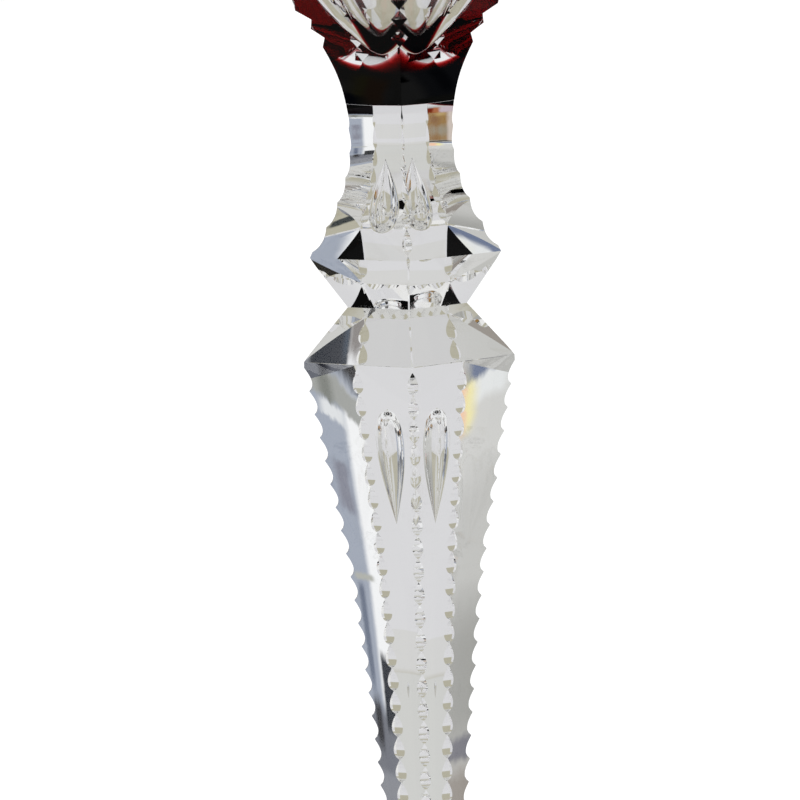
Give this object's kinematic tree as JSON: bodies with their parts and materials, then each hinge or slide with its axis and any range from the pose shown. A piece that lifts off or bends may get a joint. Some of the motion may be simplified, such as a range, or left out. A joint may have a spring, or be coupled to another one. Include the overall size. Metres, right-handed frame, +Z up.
{
  "type": "stemmed glass",
  "caption": "Tall cut-crystal goblet with a ruby cased bowl, four arched clear windows, a notched four-sided stem with a knop and air drops, and a round star-cut foot.",
  "frame": {"origin": "centre of the foot's underside, on the surface that the glass stands on", "axes": "+Z up along the stem to the rim, +X and +Y through long edges of the four-sided stem, so that an edge points towards -Y"},
  "size_m": [0.072, 0.072, 0.208],
  "materials": {
    "clear_crystal": "polished",
    "ruby_glass": "polished"
  },
  "bodies": {
    "root": {"foot": "clear_crystal", "shank": "clear_crystal", "knop": "clear_crystal", "ruby_base": "ruby_glass", "bowl": "clear_crystal", "ruby_casing": "ruby_glass"}
  },
  "joints": []
}
